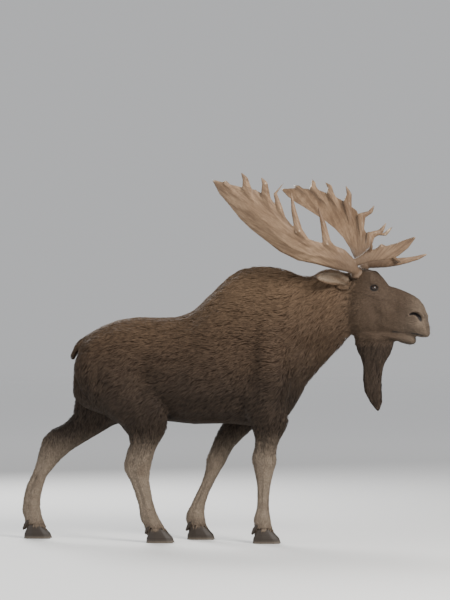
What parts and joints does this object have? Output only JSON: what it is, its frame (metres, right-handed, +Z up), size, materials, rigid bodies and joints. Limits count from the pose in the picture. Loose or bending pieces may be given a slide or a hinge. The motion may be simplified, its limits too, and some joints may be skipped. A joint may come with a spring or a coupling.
{
  "type": "bull moose",
  "caption": "Life-size still model of a walking bull moose with broad palmate antlers, a high shoulder hump, a drooping muzzle and a hanging throat bell.",
  "frame": {"origin": "On the floor, under the middle of the whole animal's bounding box.", "axes": "+X from the rump towards the head, +Y to the animal's left, +Z up."},
  "size_m": [2.9076, 1.373, 2.5768],
  "materials": {
    "hide": "dark brown hair, matte",
    "pale_hide": "short grey-brown hair, matte",
    "antler": "polished bone, satin, paler at the tips",
    "horn": "dark hoof horn, satin",
    "eyeball": "wet, glossy, dark brown"
  },
  "bodies": {
    "root": {"head": "hide", "lower_jaw": "hide", "neck": "hide", "bell": "hide", "trunk": "hide", "tail": "hide", "ear_left": "hide", "ear_right": "hide", "eye_left": "eyeball", "eye_right": "eyeball", "antler_left_palm": "antler", "antler_left_brow": "antler", "antler_right_palm": "antler", "antler_right_brow": "antler", "leg_fore_left_upper": "hide", "leg_fore_left_lower": "pale_hide", "leg_fore_left_foot": "pale_hide", "leg_fore_right_upper": "hide", "leg_fore_right_lower": "pale_hide", "leg_fore_right_foot": "pale_hide", "leg_hind_left_upper": "hide", "leg_hind_left_lower": "pale_hide", "leg_hind_left_foot": "pale_hide", "leg_hind_right_upper": "hide", "leg_hind_right_lower": "pale_hide", "leg_hind_right_foot": "pale_hide", "hoof_fore_left_outer": "horn", "hoof_fore_left_inner": "horn", "hoof_fore_right_outer": "horn", "hoof_fore_right_inner": "horn", "hoof_hind_left_outer": "horn", "hoof_hind_left_inner": "horn", "hoof_hind_right_outer": "horn", "hoof_hind_right_inner": "horn", "dewclaw_fore_left_outer": "horn", "dewclaw_fore_left_inner": "horn", "dewclaw_fore_right_outer": "horn", "dewclaw_fore_right_inner": "horn", "dewclaw_hind_left_outer": "horn", "dewclaw_hind_left_inner": "horn", "dewclaw_hind_right_outer": "horn", "dewclaw_hind_right_inner": "horn"}
  },
  "joints": []
}
